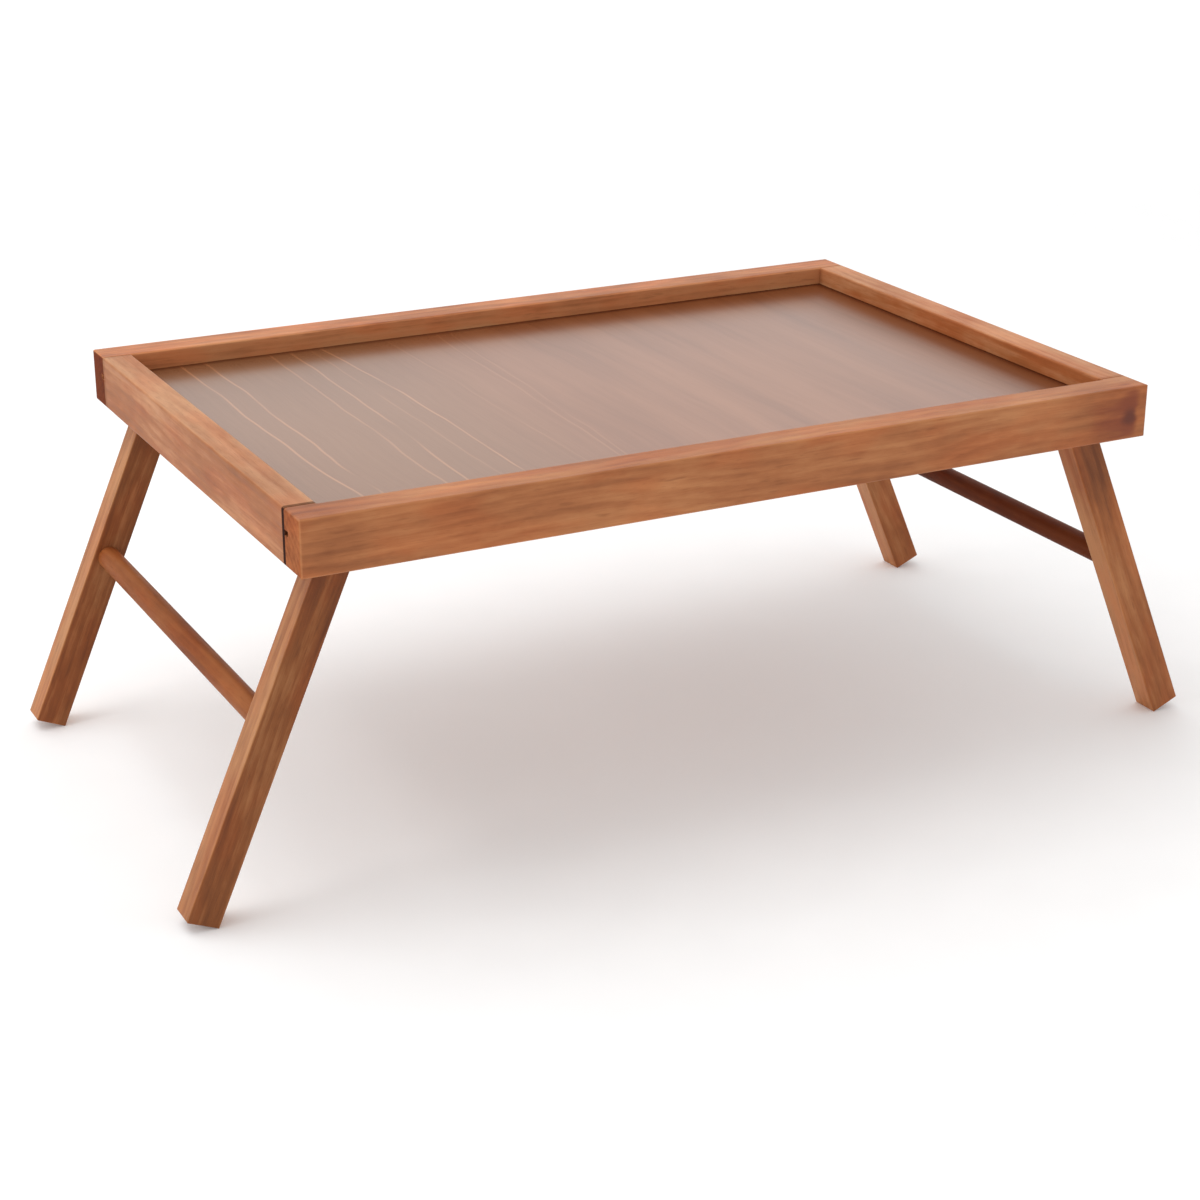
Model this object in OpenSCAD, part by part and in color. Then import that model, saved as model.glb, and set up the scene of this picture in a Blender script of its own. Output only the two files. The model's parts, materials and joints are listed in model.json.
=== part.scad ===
// Folding tray table: a shallow framed tray on two pairs of splayed legs. Each pair
// turns on screws inside the long rails and folds flat under the panel.
// Millimetres, +Z up, +X along the tray. The origin is on the ground below its centre.

/* [Tray] */
// Length over the end rails
tray_l = 500; // [490:5:600]
// Width over the long rails
tray_w = 335; // [300:5:400]
// Height of all four rails
rail_h = 30; // [28:1:36]
// Thickness of the front and back rails
long_rail_t = 20; // [20:1:24]
// Thickness of the end rails
end_rail_t = 17; // [15:0.5:20]
// Radius of the eased edges round the outside of the frame
outer_edge_r = 1.5; // [1:0.25:3]
// Radius of the eased edge round the inside of the rim
rim_edge_r = 1.25; // [0.5:0.25:2]

/* [Panel] */
// Thickness of the panel
panel_t = 3; // [3:0.5:5]
// Depth of the panel's surface below the rim
panel_drop = 10.5; // [8:0.5:11]
// Depth of the groove that holds the panel's edges
groove_depth = 4.5; // [3:0.5:6]
// Amount by which the panel's edges are thinned on top to enter the groove
edge_step = 0.2; // [0.1:0.1:0.5]

/* [Legs] */
// Width of a leg, across the pivot
leg_w = 18; // [14:1:20]
// Thickness of a leg, along the pivot
leg_t = 17; // [14:1:22]
// Length from the pivot to the end of the foot
leg_len = 205.5; // [150:0.5:207.5]
// Angle of an open leg from upright
splay = 23.3; // [15:0.1:28]
// Radius of the eased edges of a leg
leg_edge_r = 1; // [0.5:0.25:2.5]

/* [Stretchers] */
// Diameter of the round bar between two legs
stretcher_d = 13; // [10:0.5:14]
// Distance of the bar's axis from the end of the foot
stretcher_up = 106; // [60:1:120]
// Depth of the bar's sockets in the legs
socket_depth = 10; // [6:1:11]

/* [Pivots] */
// Diameter of the pivot screws
screw_d = 4.5; // [4:0.5:5]
// Length of the pivot screws below the head
screw_l = 35; // [33:1:36]
// Diameter of the pan heads
screw_head_d = 8.6; // [8:0.2:9.4]
// Outside diameter of the washers
washer_d = 12; // [10:1:14]
// Thickness of the washers
washer_t = 1; // [0.8:0.1:1.2]

/* [Corner dowels] */
// Diameter of the dowels in the corner joints
dowel_d = 8; // [6:1:8]
// Length of the dowels
dowel_l = 30; // [24:1:32]

/* [Hidden] */
$fn = 48;

ENDS = ["left", "right"];
SIDES = ["front", "back"];
function end_sign(end) = end == "left" ? -1 : 1;
function side_sign(side) = side == "front" ? -1 : 1;

// Gaps: glued joints, the screw in a leg's bore and in the washers, the faces of a leg
// between its washers, an open leg against its stop and a folded leg below the panel
glue_gap = 0.05;
bore_gap = 0.05;
washer_gap = 0.2;
side_play = 0.1;
stop_gap = 0.1;
fold_gap = 0.5;
// Gap round the panel's full-thickness field, and between its edges and the groove
panel_gap = 0.3;
// Amount by which a cutter runs past the face that it opens
over = 1;

// The opening between the rails
opening_l = tray_l - 2 * end_rail_t;
opening_w = tray_w - 2 * long_rail_t;
// Eased lower edge of the opening, which the open legs rest against at the ends
stop_edge_r = 1;
// Bevel at the ends of an end rail, which leaves a fine line along each corner joint
joint_bevel = 0.8;

// The pivot lies as high as a leg can be and still fold under the panel
pivot_drop = panel_drop + panel_t + fold_gap + leg_w / 2;
// Distance from the pivot to the edge of the stop, square to the open leg and along Z
stop_reach = leg_w / 2 + stop_gap + stop_edge_r;
stop_fall = rail_h - stop_edge_r - pivot_drop;
pivot_x = opening_l / 2 + stop_edge_r - (stop_reach + stop_fall * sin(splay)) / cos(splay);

// Heights above the ground, which the inner corner of each foot touches
foot_fall = (leg_len - leg_edge_r) * cos(splay) + (leg_w / 2 - leg_edge_r) * sin(splay);
rim_z = pivot_drop + foot_fall + leg_edge_r;
pivot_z = rim_z - pivot_drop;
panel_z = rim_z - panel_drop;

// The panel's thinned edges, and the groove round them
panel_edge_t = panel_t - edge_step;
panel_edge_z = panel_z - panel_t + panel_edge_t / 2;
groove_h = panel_edge_t + 2 * glue_gap;

// Faces across the pivot, as distances from the tray's centre plane
leg_outer_y = opening_w / 2 - washer_t - side_play;
leg_inner_y = leg_outer_y - leg_t;
screw_head_y = leg_inner_y - side_play - washer_t;

// Screw thread, in the long rail only, with its first root a part of a turn below the shank
thread_depth = 0.6;
thread_root_r = screw_d / 2 - thread_depth;
thread_pitch = 2;
thread_turns = 6;
first_root_turn = 0.3;
tip_l = 4;
screw_head_h = 2.8;
recess_depth = 1.8;
recess_w = 1;
recess_l = 4.8;

// Dowels lie below the groove, in the middle of the end rails
dowel_x = (tray_l - end_rail_t) / 2;
dowel_z = rim_z - (panel_drop + panel_t + rail_h) / 2;
dowel_in_rail = 12;
dowel_bevel = 1;
flute_r = 0.5;
flutes = 10;

frame_colour = [0.66, 0.42, 0.29];
end_rail_colour = [0.70, 0.46, 0.33];
panel_colour = [0.62, 0.44, 0.36];
leg_colour = [0.64, 0.43, 0.30];
stretcher_colour = [0.52, 0.32, 0.21];
dowel_colour = [0.85, 0.72, 0.53];
steel_colour = [0.72, 0.72, 0.74];

// Rectangle with round corners, about the origin
module rounded_rect(x, y, r) {
    square([x - 2 * r, y], center = true);
    square([x, y - 2 * r], center = true);
    for (i = [-1, 1], j = [-1, 1])
        translate([i * (x / 2 - r), j * (y / 2 - r)]) circle(r = r);
}

// Block with all its edges eased, about the origin
module eased_block(x, y, z, r) {
    intersection() {
        linear_extrude(z + 2 * over, center = true) rounded_rect(x, y, r);
        rotate([90, 0, 90]) linear_extrude(x + 2 * over, center = true) rounded_rect(y, z, r);
        rotate([90, 0, 0]) linear_extrude(y + 2 * over, center = true) rounded_rect(x, z, r);
    }
}

// Cylinder along Y about the origin
module bar(r, l) {
    rotate([90, 0, 0]) cylinder(r = r, h = l, center = true);
}

// What is cut away to ease the upper edges of the opening, with the rim at z = 0
module opening_easing(r) {
    difference() {
        translate([0, 0, (over - r) / 2])
            cube([opening_l + 2 * r, opening_w + 2 * r, r + over], center = true);
        for (i = [-1, 1]) {
            translate([i * (opening_l / 2 + r), 0, -r]) bar(r, opening_w + 4 * r);
            translate([0, i * (opening_w / 2 + r), -r]) rotate(90) bar(r, opening_l + 4 * r);
        }
    }
}

// The four rails as one frame, before it is divided at the corner joints
module whole_frame() {
    translate([0, 0, rim_z - rail_h / 2]) difference() {
        eased_block(tray_l, tray_w, rail_h, outer_edge_r);
        cube([opening_l, opening_w, rail_h + 2 * over], center = true);
        translate([0, 0, rail_h / 2]) opening_easing(rim_edge_r);
        mirror([0, 0, 1]) translate([0, 0, rail_h / 2]) opening_easing(stop_edge_r);
        translate([0, 0, panel_edge_z - rim_z + rail_h / 2])
            cube([opening_l + 2 * groove_depth, opening_w + 2 * groove_depth, groove_h],
                 center = true);
    }
}

// Front or back rail: full length, with the groove running out at both ends
module long_rail(side) {
    color(frame_colour) difference() {
        intersection() {
            whole_frame();
            translate([0, side_sign(side) * (opening_w + long_rail_t + over) / 2,
                       rim_z - rail_h / 2])
                cube([tray_l + over, long_rail_t + over, rail_h + over], center = true);
        }
        translate([0, side_sign(side) * opening_w / 2, panel_edge_z])
            cube([tray_l + over, 2 * groove_depth, groove_h], center = true);
        for (end = ENDS) {
            translate([end_sign(end) * dowel_x, side_sign(side) * opening_w / 2, dowel_z])
                bar(dowel_d / 2 + glue_gap, 2 * (dowel_in_rail + 2 * glue_gap));
            at_pivot(end, side)
                translate([0, opening_w / 2, 0])
                    bar(thread_root_r, 2 * (screw_head_y + screw_l - opening_w / 2));
        }
    }
}

// Left or right rail, butted between the long rails
module end_rail(end) {
    color(end_rail_colour) difference() {
        intersection() {
            whole_frame();
            translate([end_sign(end) * (opening_l + end_rail_t + over) / 2, 0,
                       rim_z - rail_h / 2])
                bevelled_ends(end_rail_t + over, opening_w, rail_h);
        }
        for (side = SIDES)
            translate([end_sign(end) * dowel_x, side_sign(side) * opening_w / 2, dowel_z])
                bar(dowel_d / 2 + glue_gap, 2 * (dowel_l - dowel_in_rail + 2 * glue_gap));
    }
}

// Block whose ends in Y are bevelled at the faces that meet the long rails
module bevelled_ends(x, y, z) {
    bevel = joint_bevel;
    rotate([90, 0, 90]) linear_extrude(x, center = true) polygon([
        [-y / 2 + bevel, -z / 2], [y / 2 - bevel, -z / 2],
        [y / 2, -z / 2 + bevel], [y / 2, z / 2 - bevel],
        [y / 2 - bevel, z / 2], [-y / 2 + bevel, z / 2],
        [-y / 2, z / 2 - bevel], [-y / 2, -z / 2 + bevel]
    ]);
}

// Thin panel, with its thinned edges slid into the grooves
module tray_panel() {
    in_groove = 2 * (groove_depth - panel_gap);
    color(panel_colour) {
        translate([0, 0, panel_z - panel_t / 2])
            cube([opening_l - 2 * panel_gap, opening_w - 2 * panel_gap, panel_t], center = true);
        translate([0, 0, panel_edge_z])
            cube([opening_l + in_groove, opening_w + in_groove, panel_edge_t], center = true);
    }
}

// Fluted dowel through a corner joint
module corner_dowel(side, end) {
    r = dowel_d / 2;
    middle_y = opening_w / 2 + dowel_in_rail - dowel_l / 2;
    color(dowel_colour)
        translate([end_sign(end) * dowel_x, side_sign(side) * middle_y, dowel_z])
            rotate([90, 0, 0]) difference() {
                rotate_extrude() polygon([
                    [0, -dowel_l / 2], [r - dowel_bevel, -dowel_l / 2],
                    [r, -dowel_l / 2 + dowel_bevel], [r, dowel_l / 2 - dowel_bevel],
                    [r - dowel_bevel, dowel_l / 2], [0, dowel_l / 2]
                ]);
                for (i = [0:flutes - 1])
                    rotate(i * 360 / flutes) translate([r + flute_r / 2, 0, 0])
                        cylinder(r = flute_r, h = dowel_l + over, center = true);
            }
}

// Moves a piece from the origin to a pivot, with +X outwards along the tray and
// +Y outwards across it
module at_pivot(end, side) {
    translate([end_sign(end) * pivot_x, 0, pivot_z])
        mirror([end == "left" ? 1 : 0, 0, 0]) mirror([0, side == "front" ? 1 : 0, 0])
            children();
}

// Side outline of a leg that hangs down from its pivot: round head, square foot
module leg_outline() {
    circle(r = leg_w / 2);
    translate([-leg_w / 2, -leg_len + leg_edge_r]) square([leg_w, leg_len - leg_edge_r]);
    translate([0, -leg_len + leg_w / 2]) rounded_rect(leg_w, leg_w, leg_edge_r);
}

// Leg with its pivot bore and the blind socket for the stretcher
module leg(side, end) {
    middle_y = leg_outer_y - leg_t / 2;
    color(leg_colour) at_pivot(end, side) rotate([0, -splay, 0]) difference() {
        translate([0, middle_y, 0]) intersection() {
            rotate([90, 0, 0]) linear_extrude(leg_t + 2 * over, center = true) leg_outline();
            linear_extrude(2 * (leg_len + over), center = true)
                rounded_rect(leg_w, leg_t, leg_edge_r);
            rotate([90, 0, 90]) linear_extrude(leg_w + 2 * over, center = true)
                rounded_rect(leg_t, 2 * leg_len, leg_edge_r);
        }
        translate([0, middle_y, 0]) bar(screw_d / 2 + bore_gap, leg_t + 2 * over);
        translate([0, leg_inner_y, -leg_len + stretcher_up])
            bar(stretcher_d / 2 + glue_gap, 2 * socket_depth);
    }
}

// Round bar between the two legs of a pair
module stretcher(end) {
    r = stretcher_d / 2;
    half_l = leg_inner_y + socket_depth - glue_gap;
    bevel = 1;
    color(stretcher_colour) at_pivot(end, "back") rotate([0, -splay, 0])
        translate([0, 0, -leg_len + stretcher_up]) rotate([90, 0, 0]) rotate_extrude() polygon([
            [0, -half_l], [r - bevel, -half_l], [r, -half_l + bevel],
            [r, half_l - bevel], [r - bevel, half_l], [0, half_l]
        ]);
}

// Pan-head wood screw, driven outwards through the leg into the long rail
module pivot_screw(side, end) {
    r = screw_d / 2;
    thread_l = thread_turns * thread_pitch;
    shank_l = screw_l - thread_l - tip_l;
    dome_r = screw_head_d;
    color(steel_colour) at_pivot(end, side) translate([0, screw_head_y, 0])
        rotate([-90, 0, 0]) {
            rotate_extrude() polygon(concat(
                [[0, 0], [r, 0], [r, shank_l]],
                [for (i = [0:thread_turns - 1], half = [0, 1])
                    [half == 0 ? thread_root_r : r,
                     shank_l + (i + first_root_turn + half / 2) * thread_pitch]],
                [[thread_root_r, screw_l - tip_l], [0, screw_l]]
            ));
            difference() {
                intersection() {
                    translate([0, 0, -screw_head_h]) cylinder(d = screw_head_d, h = screw_head_h);
                    translate([0, 0, dome_r - screw_head_h]) sphere(r = dome_r);
                }
                for (turn = [0, 90])
                    rotate(turn) translate([0, 0, -screw_head_h])
                        cube([recess_l, recess_w, 2 * recess_depth], center = true);
            }
        }
}

// Plain washer on the pivot, with its outer face at y
module pivot_washer(side, end, y) {
    color(steel_colour) at_pivot(end, side) translate([0, y - washer_t / 2, 0])
        difference() {
            bar(washer_d / 2, washer_t);
            bar(screw_d / 2 + washer_gap, washer_t + over);
        }
}

module rail_washer(side, end) {
    pivot_washer(side, end, opening_w / 2);
}

module head_washer(side, end) {
    pivot_washer(side, end, leg_inner_y - side_play);
}

long_rail("front");  // front_rail
long_rail("back");  // back_rail
end_rail("left");  // left_end_rail
end_rail("right");  // right_end_rail
tray_panel();
for (side = SIDES, end = ENDS) {
    place = str(side, "_", end, "_");
    corner_dowel(side, end);
    leg(side, end);
    pivot_screw(side, end);
    rail_washer(side, end);
    head_washer(side, end);
}
for (end = ENDS)
    stretcher(end);
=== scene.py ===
"""Looks of a folding tray table: reddish hardwood rails and legs, a lacquered veneer
panel and zinc-plated fittings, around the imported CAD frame. All lengths are in metres."""
import json
import math

import bpy
from mathutils import Matrix, Vector


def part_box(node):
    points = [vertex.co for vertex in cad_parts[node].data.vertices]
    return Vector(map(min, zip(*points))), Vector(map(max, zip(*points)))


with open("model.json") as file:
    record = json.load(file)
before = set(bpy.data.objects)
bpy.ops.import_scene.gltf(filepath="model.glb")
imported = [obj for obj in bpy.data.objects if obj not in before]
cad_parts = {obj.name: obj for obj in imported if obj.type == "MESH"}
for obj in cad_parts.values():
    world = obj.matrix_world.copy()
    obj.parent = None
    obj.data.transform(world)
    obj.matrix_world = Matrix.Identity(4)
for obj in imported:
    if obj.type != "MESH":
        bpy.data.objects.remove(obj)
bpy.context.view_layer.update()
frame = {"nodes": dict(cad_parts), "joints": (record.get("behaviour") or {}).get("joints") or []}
nodes = frame["nodes"]
joints = {joint["name"]: joint for joint in frame["joints"]}

# Each end of the tray, and the sign of its X
ENDS = {"left": -1, "right": 1}
SIDES = ("front", "back")
X_AXIS, Y_AXIS = Vector((1, 0, 0)), Vector((0, 1, 0))


# ---------------------------------------------------------------- camera and studio

CAMERA_AIM = Vector((-0.0359, -0.0595, 0.1))
CAMERA_DISTANCE = 1.3687
CAMERA_AZIMUTH, CAMERA_ELEVATION, CAMERA_ROLL = -27.30, 21.27, 0.12
CAMERA_LENS_MM = 73.7


def add_camera():
    """Camera at the viewing angle, turned about the aim point."""
    azimuth, elevation = math.radians(CAMERA_AZIMUTH), math.radians(CAMERA_ELEVATION)
    back = Vector((
        math.sin(azimuth) * math.cos(elevation),
        -math.cos(azimuth) * math.cos(elevation),
        math.sin(elevation),
    ))
    data = bpy.data.cameras.new("camera")
    data.lens = CAMERA_LENS_MM
    data.clip_start, data.clip_end = 0.05, 50
    camera = bpy.data.objects.new("camera", data)
    bpy.context.scene.collection.objects.link(camera)
    turn = (-back).to_track_quat("-Z", "Y").to_matrix().to_4x4()
    roll = Matrix.Rotation(math.radians(CAMERA_ROLL), 4, "Z")
    camera.matrix_world = Matrix.Translation(CAMERA_AIM + back * CAMERA_DISTANCE) @ turn @ roll
    bpy.context.scene.camera = camera


def add_area_light(name, place, aim, size, watts):
    """Square soft box at place that faces aim."""
    data = bpy.data.lights.new(name, "AREA")
    data.size = size
    data.energy = watts
    light = bpy.data.objects.new(name, data)
    bpy.context.scene.collection.objects.link(light)
    light.location = place
    light.rotation_mode = "QUATERNION"
    light.rotation_quaternion = (Vector(aim) - Vector(place)).to_track_quat("-Z", "Y")


# Direction of the brightest part of the surroundings, beyond the tray
GLOW_AIM = Vector((0.43, 0.83, 0.30)).normalized()
FLOOR_REACH = 6.0
FLOOR_GREYS = ((0.91, 0.91, 0.91), (0.93, 0.93, 0.93))
# Distances from the table between which the floor turns white
FLOOR_FADE = (1.2, 3.6)


def add_world():
    """Even pale surroundings, brighter towards GLOW_AIM, and white as a backdrop."""
    world = bpy.data.worlds.new("studio")
    tree = Tree(world)
    direction = tree.add("TexCoord").outputs["Generated"]
    glow = tree.step(tree.vector("DOT_PRODUCT", direction, tuple(GLOW_AIM)), 0.10, 0.90)
    strength = tree.math("MULTIPLY_ADD", glow, 0.42, 0.72)
    seen_directly = tree.add("LightPath").outputs["Is Camera Ray"]
    strength = tree.math("MAXIMUM", strength, seen_directly)
    background = tree.add("Background", None, {"Color": (1, 1, 1, 1), "Strength": strength})
    tree.add("OutputWorld", None, {"Surface": background.outputs[0]})
    bpy.context.scene.world = world


def add_floor():
    """Pale, faintly lit floor that turns white far from the table."""
    mesh = bpy.data.meshes.new("floor")
    signs = ((-1, -1), (1, -1), (1, 1), (-1, 1))
    corners = [(x * FLOOR_REACH, y * FLOOR_REACH, 0) for x, y in signs]
    mesh.from_pydata(corners, [], [(0, 1, 2, 3)])
    floor = bpy.data.objects.new("floor", mesh)
    bpy.context.scene.collection.objects.link(floor)
    tree = new_material("studio_floor")
    place = tree.object_coords()
    shade = tree.ramp(tree.noise(place, 30), list(zip((0.3, 0.7), FLOOR_GREYS)))
    far = tree.step(tree.vector("LENGTH", place), *FLOOR_FADE)
    glow = tree.math("MULTIPLY_ADD", far, 0.25, 0.09)
    mesh.materials.append(tree.principled(shade, 0.9, Emission_Color=(1, 1, 1, 1),
                                          Emission_Strength=glow))


def add_studio():
    """Floor, surroundings, and soft boxes above and to the left."""
    add_floor()
    add_world()
    add_area_light("top_box", (-0.8, 0.3, 2.2), (0, 0, 0.2), size=1.6, watts=14)
    add_area_light("left_box", (-2.3, 0.2, 0.9), (0, 0, 0.15), size=1.5, watts=12.5)
    bpy.context.scene.view_settings.view_transform = "Standard"


# ---------------------------------------------------------------- node trees


class Tree:
    """The node tree of a new material or world."""

    def __init__(self, owner):
        owner.use_nodes = True
        self.owner = owner
        self.nodes = owner.node_tree.nodes
        self.nodes.clear()

    def add(self, kind, settings=None, inputs=None):
        """New node of a kind, with its settings, and its inputs set or linked."""
        node = self.nodes.new("ShaderNode" + kind)
        for key, value in (settings or {}).items():
            setattr(node, key, value)
        for key, value in (inputs or {}).items():
            self.feed(node.inputs[key], value)
        return node

    def feed(self, socket, value):
        if isinstance(value, bpy.types.NodeSocket):
            self.owner.node_tree.links.new(value, socket)
        else:
            socket.default_value = value

    def math(self, operation, *values):
        return self.add("Math", {"operation": operation}, dict(enumerate(values))).outputs[0]

    def vector(self, operation, *values):
        node = self.add("VectorMath", {"operation": operation}, dict(enumerate(values)))
        scalar = operation in ("DOT_PRODUCT", "LENGTH")
        return node.outputs["Value" if scalar else "Vector"]

    def combine(self, x, y, z):
        return self.add("CombineXYZ", None, {0: x, 1: y, 2: z}).outputs[0]

    def split(self, vector):
        return self.add("SeparateXYZ", None, {0: vector}).outputs[:3]

    def object_coords(self):
        return self.add("TexCoord").outputs["Object"]

    def noise(self, coords, scale, detail=2.0, roughness=0.5, stretch=(1, 1, 1)):
        """Noise from 0 to 1, with scale in cycles a metre times the stretch of each axis."""
        scaled = self.vector("MULTIPLY", coords, tuple(scale * s for s in stretch))
        inputs = {"Vector": scaled, "Scale": 1.0, "Detail": detail, "Roughness": roughness}
        return self.add("TexNoise", None, inputs).outputs[0]

    def step(self, value, low, high):
        """Smooth step from 0 at low to 1 at high."""
        settings = {"interpolation_type": "SMOOTHSTEP"}
        inputs = {"Value": value, "From Min": low, "From Max": high}
        return self.add("MapRange", settings, inputs).outputs[0]

    def ramp(self, value, stops):
        """Colour of value between the stops, which are (place, (r, g, b))."""
        node = self.add("ValToRGB", None, {0: value})
        elements = node.color_ramp.elements
        while len(elements) < len(stops):
            elements.new(0.5)
        for element, (place, colour) in zip(elements, stops):
            element.position = place
            element.color = (*colour, 1)
        return node.outputs[0]

    def mix(self, factor, a, b, blend="MIX"):
        """Mix of two colours, each a socket or (r, g, b)."""
        node = self.add("Mix", {"data_type": "RGBA", "blend_type": blend})
        self.feed(node.inputs["Factor"], factor)
        for socket, colour in zip(node.inputs[6:8], (a, b)):
            if not isinstance(colour, bpy.types.NodeSocket):
                colour = (*colour, 1)
            self.feed(socket, colour)
        return node.outputs[2]

    def tint(self, factor, colour, by):
        """Colour multiplied by (r, g, b) as far as factor says."""
        return self.mix(factor, colour, by, "MULTIPLY")

    def bump(self, height, distance, strength):
        inputs = {"Height": height, "Distance": distance, "Strength": strength}
        return self.add("Bump", None, inputs).outputs[0]

    def principled(self, colour, roughness, normal=None, **others):
        """Finishes the tree. The other inputs have a _ for each space in their names."""
        inputs = {"Base Color": colour, "Roughness": roughness}
        if normal is not None:
            inputs["Normal"] = normal
        for key, value in others.items():
            inputs[key.replace("_", " ")] = value
        shader = self.add("BsdfPrincipled", None, inputs)
        self.add("OutputMaterial", None, {"Surface": shader.outputs[0]})
        return self.owner


def new_material(name):
    """Empty node tree of a new material."""
    return Tree(bpy.data.materials.new(name))


# ---------------------------------------------------------------- wood

RING_WIDTH = 0.0042
RED_PATCH_TINT = (1.04, 0.91, 0.84)
# Dark lines at the joints: glue lines with painted shadow of the gaps between pieces
JOINT_LINE_WIDTH = 0.0028
GLUE_AND_GAP_SHADOW_COLOUR = (0.024, 0.004, 0.001)


class Grain:
    """A piece's own coordinates in its tree: u along the grain, v and w across it, all
    from the piece's centre."""

    def __init__(self, tree, box, along, across, seed):
        low, high = box
        self.tree = tree
        self.half_length = abs((high - low).dot(along)) / 2
        axes = [tuple(axis) for axis in (along, across, along.cross(across))]
        from_centre = tree.vector("SUBTRACT", tree.object_coords(), tuple((low + high) / 2))
        place = tree.combine(*[tree.vector("DOT_PRODUCT", from_centre, axis) for axis in axes])
        self.u, self.v, self.w = tree.split(place)
        self.seeded = tree.vector("ADD", place, (seed, 1.3 * seed, 0.7 * seed))
        normal = tree.add("TexCoord").outputs["Normal"]
        facing = [tree.math("ABSOLUTE", tree.vector("DOT_PRODUCT", normal, a)) for a in axes]
        self.end_face = tree.step(facing[0], 0.6, 0.95)
        self.v_face = tree.step(facing[1], 0.6, 0.95)
        self.w_face = tree.step(facing[2], 0.6, 0.95)
        flattest = tree.math("MAXIMUM", facing[0], tree.math("MAXIMUM", facing[1], facing[2]))
        self.eased_edge = tree.step(flattest, 0.995, 0.8)

    def noise(self, along, across, detail=2.0, roughness=0.5):
        """Noise with so many cycles a metre along the grain and across it."""
        stretch = (along, across, across)
        return self.tree.noise(self.seeded, 1.0, detail, roughness, stretch)

    def near_end(self, end, start, full):
        """How close a place is to the end towards -u (end -1) or +u (end 1), from 0 at
        the distance start from it to 1 at the distance full."""
        outward = self.tree.math("MULTIPLY", self.u, end)
        return self.tree.step(outward, self.half_length - start, self.half_length - full)

    def rings(self, pith):
        """Growth rings around the pith, from 0 in the early wood to 1 in the late wood."""
        tree = self.tree
        drift = self.noise(4, 11)
        cross = tree.combine(tree.math("SUBTRACT", self.v, pith[0]),
                             tree.math("SUBTRACT", self.w, pith[1]), 0)
        radius = tree.math("MULTIPLY_ADD", drift, 0.030, tree.vector("LENGTH", cross))
        phase = tree.math("FRACT", tree.math("DIVIDE", radius, RING_WIDTH))
        return tree.math("MULTIPLY", tree.step(phase, 0.0, 0.8), tree.step(phase, 1.0, 0.8))


def add_parts(tree, start, parts):
    """start plus each part's distance from 0.5 times its amount."""
    for part, amount in parts:
        start = tree.math("MULTIPLY_ADD", tree.math("SUBTRACT", part, 0.5), amount, start)
    return start


def wood(name, box, along, across, tones, seed=0.0, figure=1.0, pith=(0.05, -0.035),
         end_tint=(0.80, 0.74, 0.70), knot=None, painted_face_light=0.0, far_face=0.0,
         end_tone_and_shade=(0.0, 0.0), seams=(0.0, 0.0), gloss=0.22):
    """Oiled hardwood. tones are its dark, middle and light colours, seed shifts its grain,
    figure is how strong its bands and rings are, pith is the v and w of the rings' middle,
    end_tint multiplies the end grain's colour, and gloss is its specular level. The others
    are those of wood_tone, wood_knot and glue_and_gap_shadow_lines."""
    dark, middle, light = tones
    tree = new_material(name)
    grain = Grain(tree, box, along, across, seed)
    clouds = grain.noise(13, 36)
    bands = grain.noise(7, 150, roughness=0.55)
    mottles = grain.noise(75, 210, roughness=0.55)
    streaks = grain.noise(18, 430, detail=3, roughness=0.6)
    fibres = grain.noise(60, 1500, roughness=0.6)
    pores = tree.step(grain.noise(130, 2300, detail=1), 0.60, 0.74)
    flecks = tree.step(grain.noise(60, 420, detail=1), 0.66, 0.80)

    tone = add_parts(tree, 0.52, ((grain.rings(pith), -0.08 * figure), (bands, 0.40 * figure),
                                  (clouds, 0.62), (mottles, 0.24), (streaks, 0.24),
                                  (fibres, 0.16)))
    tone = wood_tone(tree, grain, tone, painted_face_light, far_face, end_tone_and_shade)
    colour = tree.ramp(tone, [(0.20, dark), (0.5, middle), (0.85, light)])
    red_patches = tree.step(grain.noise(20, 60), 0.40, 0.65)
    colour = tree.tint(red_patches, colour, RED_PATCH_TINT)
    colour = tree.mix(tree.math("MULTIPLY", pores, 0.26), colour, dark)
    colour = tree.mix(tree.math("MULTIPLY", flecks, 0.36), colour, dark)
    colour = tree.tint(grain.end_face, colour, end_tint)
    if knot is not None:
        colour = wood_knot(tree, grain, colour, dark, knot)
    # Lighter rounded edges: worn edges with a painted highlight along them
    edge_wear_and_highlight = tree.math("MULTIPLY", grain.eased_edge, tree.step(clouds, 0.35, 0.65))
    colour = tree.mix(tree.math("MULTIPLY", edge_wear_and_highlight, 0.30), colour, light)

    roughness = tree.math("MULTIPLY_ADD", streaks, 0.20, 0.40)
    roughness = tree.math("MULTIPLY_ADD", grain.end_face, 0.50, roughness)
    colour, roughness = glue_and_gap_shadow_lines(tree, grain, colour, roughness, seams)
    height = tree.math("MULTIPLY_ADD", pores, -0.9, tree.math("ADD", fibres, streaks))
    return tree.principled(colour, roughness, tree.bump(height, 0.00010, 0.5),
                           Specular_IOR_Level=gloss)


def wood_tone(tree, grain, tone, painted_face_light, far_face, end_tone_and_shade):
    """tone, made lighter on the faces square to w as painted light, or darker where that amount
    is negative, darker by far_face on the one towards +v, and darker towards the two ends, which
    on the legs' tops is painted shade under the rails."""
    # Painted light: the faces square to w lighter, or darker as painted shade
    if painted_face_light:
        tone = tree.math("MULTIPLY_ADD", grain.w_face, painted_face_light, tone)
    if far_face:
        on_far_face = tree.math("MULTIPLY", grain.v_face, tree.step(grain.v, -0.001, 0.001))
        tone = tree.math("MULTIPLY_ADD", on_far_face, -far_face, tone)
    # Darker towards the ends: on the legs' tops this is painted shade under the rails
    for end, amount in zip((-1, 1), end_tone_and_shade):
        if amount:
            near_end = grain.near_end(end, 0.060, 0.012)
            tone = tree.math("MULTIPLY_ADD", near_end, -amount, tone)
    return tone


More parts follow.
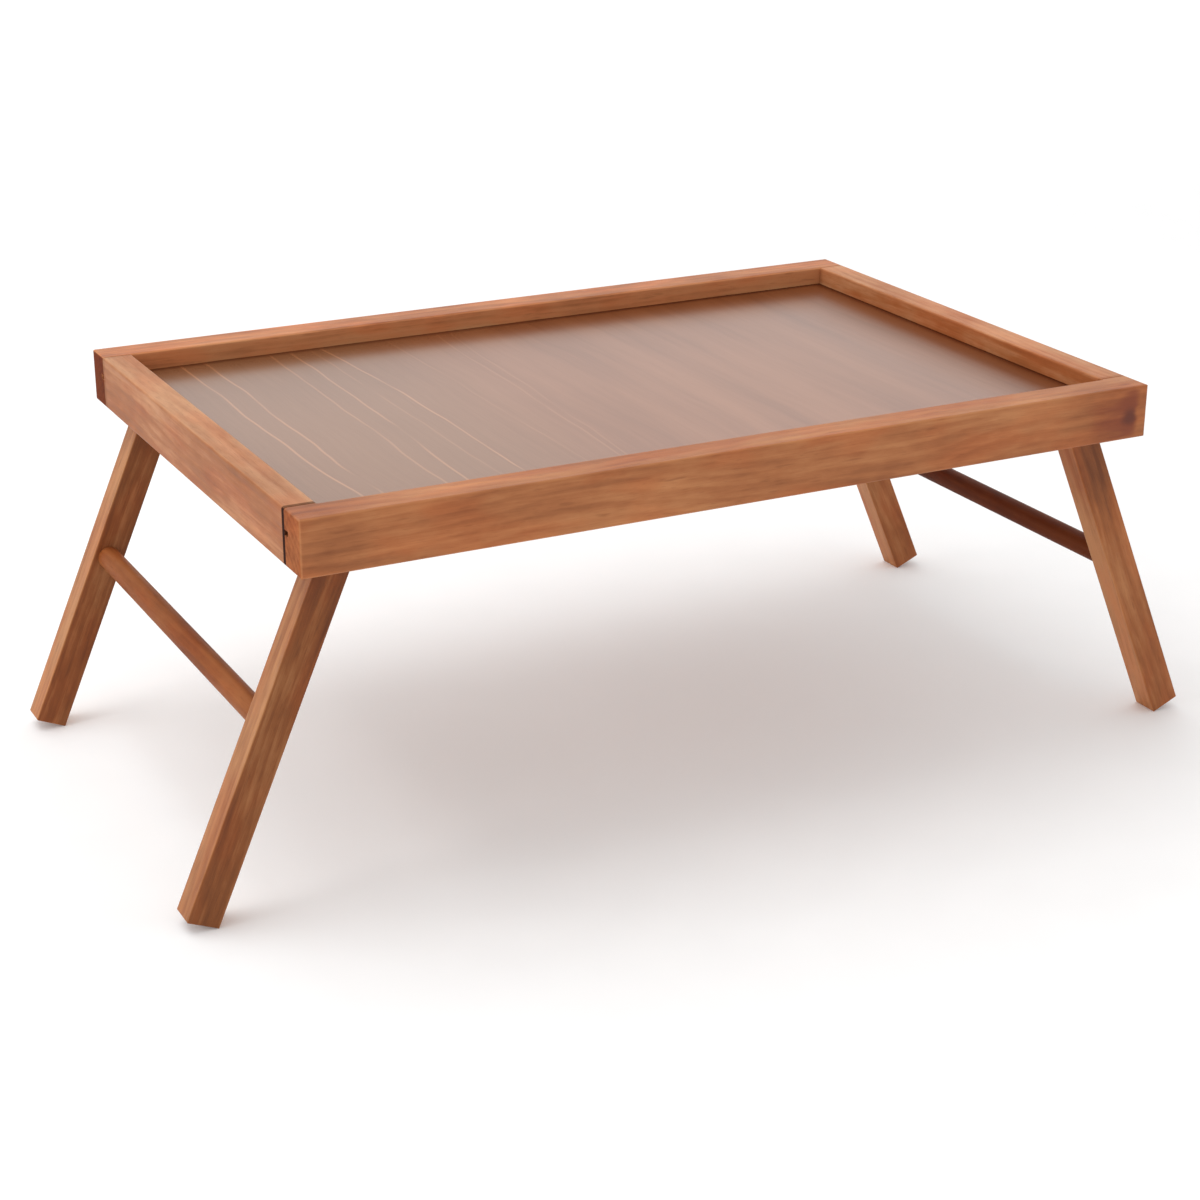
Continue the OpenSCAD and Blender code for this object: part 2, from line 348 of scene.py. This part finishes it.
def glue_and_gap_shadow_lines(tree, grain, colour, roughness, seams):
    """colour and roughness with a dark, dull line across each end, a glue line made darker as
    painted shadow of the joint's gap. seams are how dark the two lines are, and they are fainter
    on the faces square to w."""
    for end, seam in zip((-1, 1), seams):
        if seam:
            line = grain.near_end(end, 1.3 * JOINT_LINE_WIDTH, JOINT_LINE_WIDTH)
            weight = tree.math("MULTIPLY_ADD", grain.v_face, 0.35 * seam, 0.65 * seam)
            weight = tree.math("MULTIPLY", line, weight)
            colour = tree.mix(weight, colour, GLUE_AND_GAP_SHADOW_COLOUR)
            roughness = tree.math("MULTIPLY_ADD", weight, 0.50, roughness)
    return colour, roughness


def wood_knot(tree, grain, colour, dark, knot):
    """Adds a knot, at knot's distance from the +u end and its w: a purplish core, dark red
    wood above and below it, and red streaks that run out of it towards -u."""
    from_end, knot_w = knot
    from_u = tree.math("SUBTRACT", grain.u, grain.half_length - from_end)
    from_w = tree.math("SUBTRACT", grain.w, knot_w)
    wisps = tree.math("MULTIPLY", tree.math("SUBTRACT", grain.noise(30, 150), 0.5), 4.5)

    def patch(left, right, height, raggedness, amount):
        """How far a place lies inside a ragged oval round the knot, from 0 to amount."""
        across = tree.math("MAXIMUM", tree.math("DIVIDE", from_u, right),
                           tree.math("DIVIDE", from_u, -left))
        oval = tree.combine(across, tree.math("DIVIDE", from_w, height), 0)
        distance = tree.math("MULTIPLY_ADD", wisps, raggedness, tree.vector("LENGTH", oval))
        return tree.math("MULTIPLY", tree.step(distance, 1.25, 0.35), amount)

    def shade(*factors):
        return tuple(channel * factor for channel, factor in zip(dark, factors))

    red, core, orange = shade(1.05, 0.80, 1.05), shade(0.55, 0.50, 1.0), shade(2.0, 2.0, 1.8)
    colour = tree.mix(patch(0.004, 0.0095, 0.013, 0.25, 0.40), colour, orange)
    colour = tree.mix(patch(0.030, 0.0055, 0.013, 0.55, 0.72), colour, red)
    colour = tree.mix(patch(0.009, 0.0050, 0.016, 0.35, 0.70), colour, red)
    return tree.mix(patch(0.0070, 0.0045, 0.0055, 0.15, 0.78), colour, core)


# ---------------------------------------------------------------- panel, steel

# Pale lines in the panel's veneer: x where they cross the middle of the tray, slant,
# curvature and strength
VENEER_LINES = [(-0.204, -0.027, 0.09, 0.50), (-0.190, -0.009, 0.00, 0.45),
                (-0.153, 0.015, 0.00, 0.30), (-0.139, 0.024, -0.09, 0.40),
                (-0.124, -0.005, 0.00, 0.15), (-0.110, -0.024, -0.21, 0.45),
                (-0.074, -0.010, 0.00, 0.12), (-0.049, 0.037, 0.00, 0.16),
                (-0.043, 0.054, 0.00, 0.14)]
VENEER_TONES = ((0.210, 0.080, 0.036), (0.300, 0.124, 0.060), (0.385, 0.170, 0.088))
VENEER_LINE_COLOUR = (0.66, 0.32, 0.16)
LEFT_VENEER_TINT = (0.90, 1.06, 1.14)
# Tints of the veneer's painted shade and painted reflection of the rails in the wide and the
# narrow margin, and of its painted contact shadow along the rails
WIDE_RAIL_SHADE_TINT = (0.84, 0.82, 0.80)
NARROW_RAIL_SHADE_TINT = (0.65, 0.48, 0.34)
CONTACT_SHADOW_TINT = (0.42, 0.24, 0.12)


def veneer(name, half_length, half_width):
    """Lacquered veneer, with its grain along Y, pale lines and a greyer tone to the left,
    and soft brown bands to the right. half_length and half_width are how far the rails
    are from its centre."""
    tree = new_material(name)
    place = tree.object_coords()
    x, y, _ = tree.split(place)
    bend = tree.noise(place, 10, stretch=(0.8, 1, 1))
    bent_x = tree.math("MULTIPLY_ADD", tree.math("SUBTRACT", bend, 0.5), 0.010, x)
    bent = tree.combine(bent_x, y, 0)

    bands = tree.noise(bent, 38, detail=3, roughness=0.55, stretch=(1, 0.07, 1))
    fine = tree.noise(bent, 260, detail=3, roughness=0.6, stretch=(1, 0.03, 1))
    fibres = tree.noise(bent, 1300, roughness=0.6, stretch=(1, 0.02, 1))
    clouds = tree.noise(place, 6)
    banding = tree.math("MULTIPLY_ADD", tree.step(x, -0.12, 0.02), 0.66, 0.14)
    shade = tree.math("MULTIPLY", tree.math("SUBTRACT", bands, 0.5), banding)
    tone = add_parts(tree, tree.math("ADD", shade, 0.5),
                     ((fine, 0.16), (fibres, 0.18), (clouds, 0.22)))
    colour = tree.ramp(tone, list(zip((0.2, 0.5, 0.85), VENEER_TONES)))
    colour = tree.tint(tree.step(bent_x, -0.02, -0.14), colour, LEFT_VENEER_TINT)
    colour = veneer_lines(tree, bent_x, y, colour)
    colour, coat = veneer_rail_shade(tree, half_length, half_width, x, y, colour)

    smear = tree.noise(place, 45, detail=3)
    roughness = tree.math("MULTIPLY_ADD", smear, 0.10, 0.40)
    normal = tree.bump(tree.math("ADD", fine, fibres), 0.00002, 0.3)
    return tree.principled(colour, roughness, normal, Specular_IOR_Level=0.0,
                           Coat_Weight=coat, Coat_Roughness=0.23, Coat_IOR=1.5)


def veneer_lines(tree, bent_x, y, colour):
    """Adds VENEER_LINES, which fade out here and there."""
    square_y = tree.math("MULTIPLY", y, y)
    for line_x, slant, curvature, strength in VENEER_LINES:
        straight = tree.math("MULTIPLY_ADD", y, slant, line_x)
        curve = tree.math("MULTIPLY_ADD", square_y, curvature, straight)
        offset = tree.math("ABSOLUTE", tree.math("SUBTRACT", bent_x, curve))
        broken = tree.noise(tree.combine(line_x * 40, y, 0), 14, detail=1)
        visible = tree.math("MULTIPLY", tree.step(offset, 0.0011, 0.0001),
                            tree.step(broken, 0.25, 0.6))
        weight = tree.math("MULTIPLY", visible, strength)
        colour = tree.mix(weight, colour, VENEER_LINE_COLOUR)
    return colour


def veneer_rail_shade(tree, half_length, half_width, x, y, colour):
    """The veneer's colour with painted shade and painted reflection of the rails as soft dark
    margins along the right and back rails, wider towards their corner, and a painted contact
    shadow along all four, and its coat's weight, which falls in the same margins."""
    slanted_y = tree.math("MULTIPLY_ADD", x, 0.03, y)

    def margin(width):
        """How close a place is to the right or the back rail, from 0 at width to 1."""
        clear = [tree.step(tree.math("SUBTRACT", half, across), 0.05 * width, width)
                 for half, across in ((half_length, x), (half_width, slanted_y))]
        return tree.math("SUBTRACT", 1.0, tree.math("MULTIPLY", *clear))

    # Painted shade and painted reflection of the right and back rails
    colour = tree.tint(margin(0.140), colour, WIDE_RAIL_SHADE_TINT)
    colour = tree.tint(margin(0.042), colour, NARROW_RAIL_SHADE_TINT)
    # Painted contact shadow at the foot of all four rails
    gaps = [tree.math("SUBTRACT", half, tree.math("ABSOLUTE", across))
            for half, across in ((half_length, x), (half_width, y))]
    contact_shadow = tree.step(tree.math("MINIMUM", *gaps), 0.0075, 0.0005)
    colour = tree.tint(contact_shadow, colour, CONTACT_SHADOW_TINT)
    thin = tree.math("MULTIPLY", margin(0.065), tree.step(x, -0.15, 0.20))
    return colour, tree.math("MULTIPLY_ADD", thin, -0.55, 1.0)


def zinc(name, tone):
    """Zinc-plated steel with faint turning marks and dull patches."""
    tree = new_material(name)
    place = tree.object_coords()
    patch = tree.noise(place, 260, detail=3, roughness=0.6)
    scratch = tree.noise(place, 900, stretch=(1, 0.1, 1))
    colour = tree.ramp(patch, [(0.35, tuple(0.78 * c for c in tone)), (0.65, tone)])
    roughness = tree.math("MULTIPLY_ADD", scratch, 0.22, 0.20)
    normal = tree.bump(scratch, 0.00002, 0.5)
    return tree.principled(colour, roughness, normal, Metallic=1.0)


# ---------------------------------------------------------------- dressing the frame

FRONT_RAIL_TONES = ((0.215, 0.066, 0.022), (0.405, 0.144, 0.051), (0.570, 0.250, 0.100))
# The back rail's lighter tones are painted light on its shaded inner face
BACK_RAIL_TONES = ((0.340, 0.115, 0.043), (0.620, 0.244, 0.099), (0.680, 0.315, 0.140))
LEFT_RAIL_TONES = ((0.198, 0.063, 0.018), (0.338, 0.115, 0.035), (0.558, 0.276, 0.134))
RIGHT_RAIL_TONES = ((0.235, 0.070, 0.020), (0.390, 0.124, 0.037), (0.590, 0.285, 0.136))
# Leg and bar tones are darkened as painted shade under the tray, most on the right bar
LEFT_LEG_TONES = ((0.120, 0.034, 0.010), (0.243, 0.077, 0.021), (0.460, 0.202, 0.078))
RIGHT_LEG_TONES = ((0.165, 0.048, 0.014), (0.340, 0.110, 0.032), (0.520, 0.225, 0.088))
LEFT_BAR_TONES = ((0.125, 0.032, 0.009), (0.235, 0.069, 0.019), (0.360, 0.125, 0.040))
RIGHT_BAR_TONES = ((0.060, 0.011, 0.002), (0.122, 0.024, 0.005), (0.200, 0.050, 0.013))
BEECH_TONES = ((0.450, 0.280, 0.150), (0.620, 0.430, 0.250), (0.720, 0.540, 0.340))


def dress(node, material):
    """Gives a CAD node its one finish."""
    nodes[node].data.materials.clear()
    nodes[node].data.materials.append(material)


def leg_axis(end):
    """Unit vector from a pair's pivot towards its feet, in the open pose."""
    joint = joints[end + "_fold"]
    splay = math.radians(joint["range_deg"][1] - 90)
    return Vector((ENDS[end] * math.sin(splay), 0, -math.cos(splay)))


def dress_frame():
    """Wood on the rails, and veneer on the panel between them."""
    # Lighter top as painted light
    dress("front_rail", wood("front_rail_wood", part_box("front_rail"), X_AXIS, Y_AXIS,
                             FRONT_RAIL_TONES, seed=1.3, pith=(0.045, -0.05), painted_face_light=0.05,
                             end_tint=(0.90, 0.81, 0.76), knot=(0.011, -0.002),
                             end_tone_and_shade=(0.17, 0.0)))
    # Lighter tones as painted light on the inner face, with the top and the back face darkened
    # back
    dress("back_rail", wood("back_rail_wood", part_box("back_rail"), X_AXIS, Y_AXIS,
                            BACK_RAIL_TONES, seed=4.1, pith=(-0.03, -0.06), painted_face_light=-0.17,
                            far_face=0.25, end_tint=(0.23, 0.11, 0.05)))
    tones = {"left": LEFT_RAIL_TONES, "right": RIGHT_RAIL_TONES}
    # Lighter tops as painted light, and dark joint lines with painted gap shadow
    painted_face_light = {"left": 0.20, "right": 0.15}
    seams = {"left": (1.0, 0.15), "right": (0.25, 0.10)}
    for number, end in enumerate(ENDS):
        rail = end + "_end_rail"
        dress(rail, wood(rail + "_wood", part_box(rail), Y_AXIS, X_AXIS, tones[end],
                         seed=7.7 + 2.9 * number, pith=(0.05, 0.04 - 0.09 * number),
                         figure=0.9, painted_face_light=painted_face_light[end], seams=seams[end], gloss=0.18))
    inner_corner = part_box("left_end_rail")[1]
    dress("tray_panel", veneer("panel_veneer", -inner_corner.x, inner_corner.y))


def dress_legs():
    """Wood on the legs and their bars, in tones darkened as painted shade under the tray,
    darkest on the right bar.
    """
    tones = {"left": (LEFT_LEG_TONES, LEFT_BAR_TONES),
             "right": (RIGHT_LEG_TONES, RIGHT_BAR_TONES)}
    for number, end in enumerate(ENDS):
        down = leg_axis(end)
        leg_tones, bar_tones = tones[end]
        for count, side in enumerate(SIDES):
            leg = f"{side}_{end}_leg"
            seed = 12.1 + 3.7 * number + 1.9 * count
            pith = (0.03 + 0.02 * count, -0.04 + 0.07 * number)
            # Lighter side faces are painted light, and the darker top end painted shade under
            # the rail
            dress(leg, wood(leg + "_wood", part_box(leg), down, Y_AXIS, leg_tones,
                            seed=seed, pith=pith, end_tint=(0.75, 0.69, 0.66), painted_face_light=0.24,
                            end_tone_and_shade=(0.16, 0.0)))
        bar = end + "_stretcher"
        dress(bar, wood(bar + "_wood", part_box(bar), Y_AXIS, down, bar_tones, gloss=0.06,
                        seed=21.3 + 2.3 * number, pith=(0.012, 0.02), figure=0.7))


def dress_fittings():
    """Zinc on the screws and washers, and beech on the dowels."""
    screw_zinc = zinc("screw_zinc", (0.72, 0.69, 0.60))
    washer_zinc = zinc("washer_zinc", (0.70, 0.70, 0.71))
    for end in ENDS:
        for side in SIDES:
            place = f"{side}_{end}_"
            dress(place + "screw", screw_zinc)
            dress(place + "rail_washer", washer_zinc)
            dress(place + "head_washer", washer_zinc)
            dowel = place + "dowel"
            dress(dowel, wood(dowel + "_wood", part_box(dowel), Y_AXIS, X_AXIS, BEECH_TONES,
                              pith=(0.02, 0.01), figure=0.4))


add_camera()
add_studio()
dress_frame()
dress_legs()
dress_fittings()
